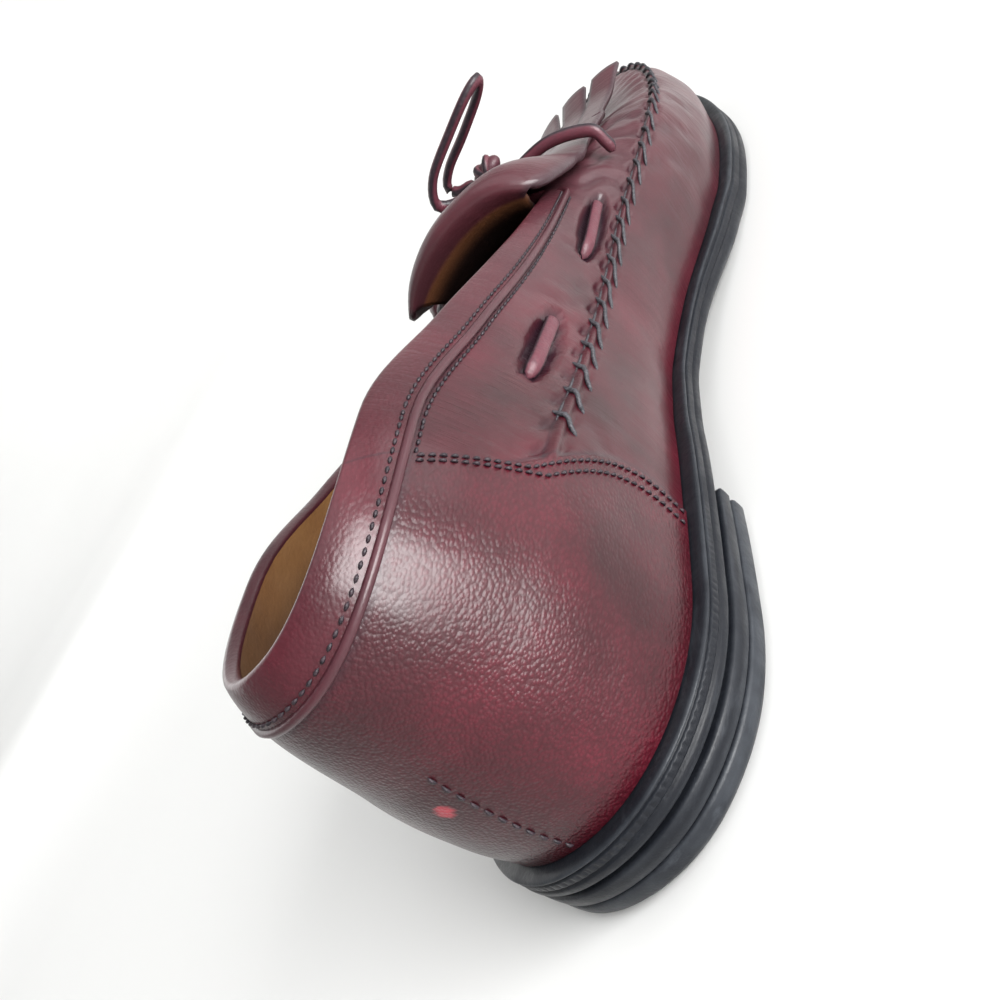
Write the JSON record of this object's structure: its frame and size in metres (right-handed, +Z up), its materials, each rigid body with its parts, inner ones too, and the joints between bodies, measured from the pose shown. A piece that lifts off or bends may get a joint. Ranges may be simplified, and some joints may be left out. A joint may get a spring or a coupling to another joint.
{
  "type": "tassel loafer",
  "caption": "Left tassel loafer in burgundy leather with a fringed kiltie tongue, a round lace bow, a hand-sewn apron seam and a low heel.",
  "frame": {"origin": "on the floor under the middle of the standing shoe", "axes": "+Y toward the toe, +X toward the inner (medial) side, +Z up"},
  "size_m": [0.0976, 0.3, 0.0826],
  "materials": {
    "burgundy_leather": "polished, fine grain",
    "lace_leather": "waxed round lace",
    "black_sole": "edge dressed black, scuffed",
    "black_rubber": "worn matt",
    "tan_lining": "matt lining leather"
  },
  "bodies": {
    "root": {"outsole": "black_sole", "heel_base": "black_sole", "top_lift": "black_rubber", "insole": "tan_lining", "upper": "burgundy_leather", "kiltie_tongue": "burgundy_leather", "lace_run_rear_inner": "lace_leather", "lace_run_front_inner": "lace_leather", "lace_run_rear_outer": "lace_leather", "lace_run_front_outer": "lace_leather", "lace_crossing": "lace_leather", "lace_knot": "lace_leather", "lace_loop": "lace_leather", "lace_end_front": "lace_leather", "lace_end_side": "lace_leather", "tassel_front": "burgundy_leather", "tassel_side": "burgundy_leather"}
  },
  "joints": []
}
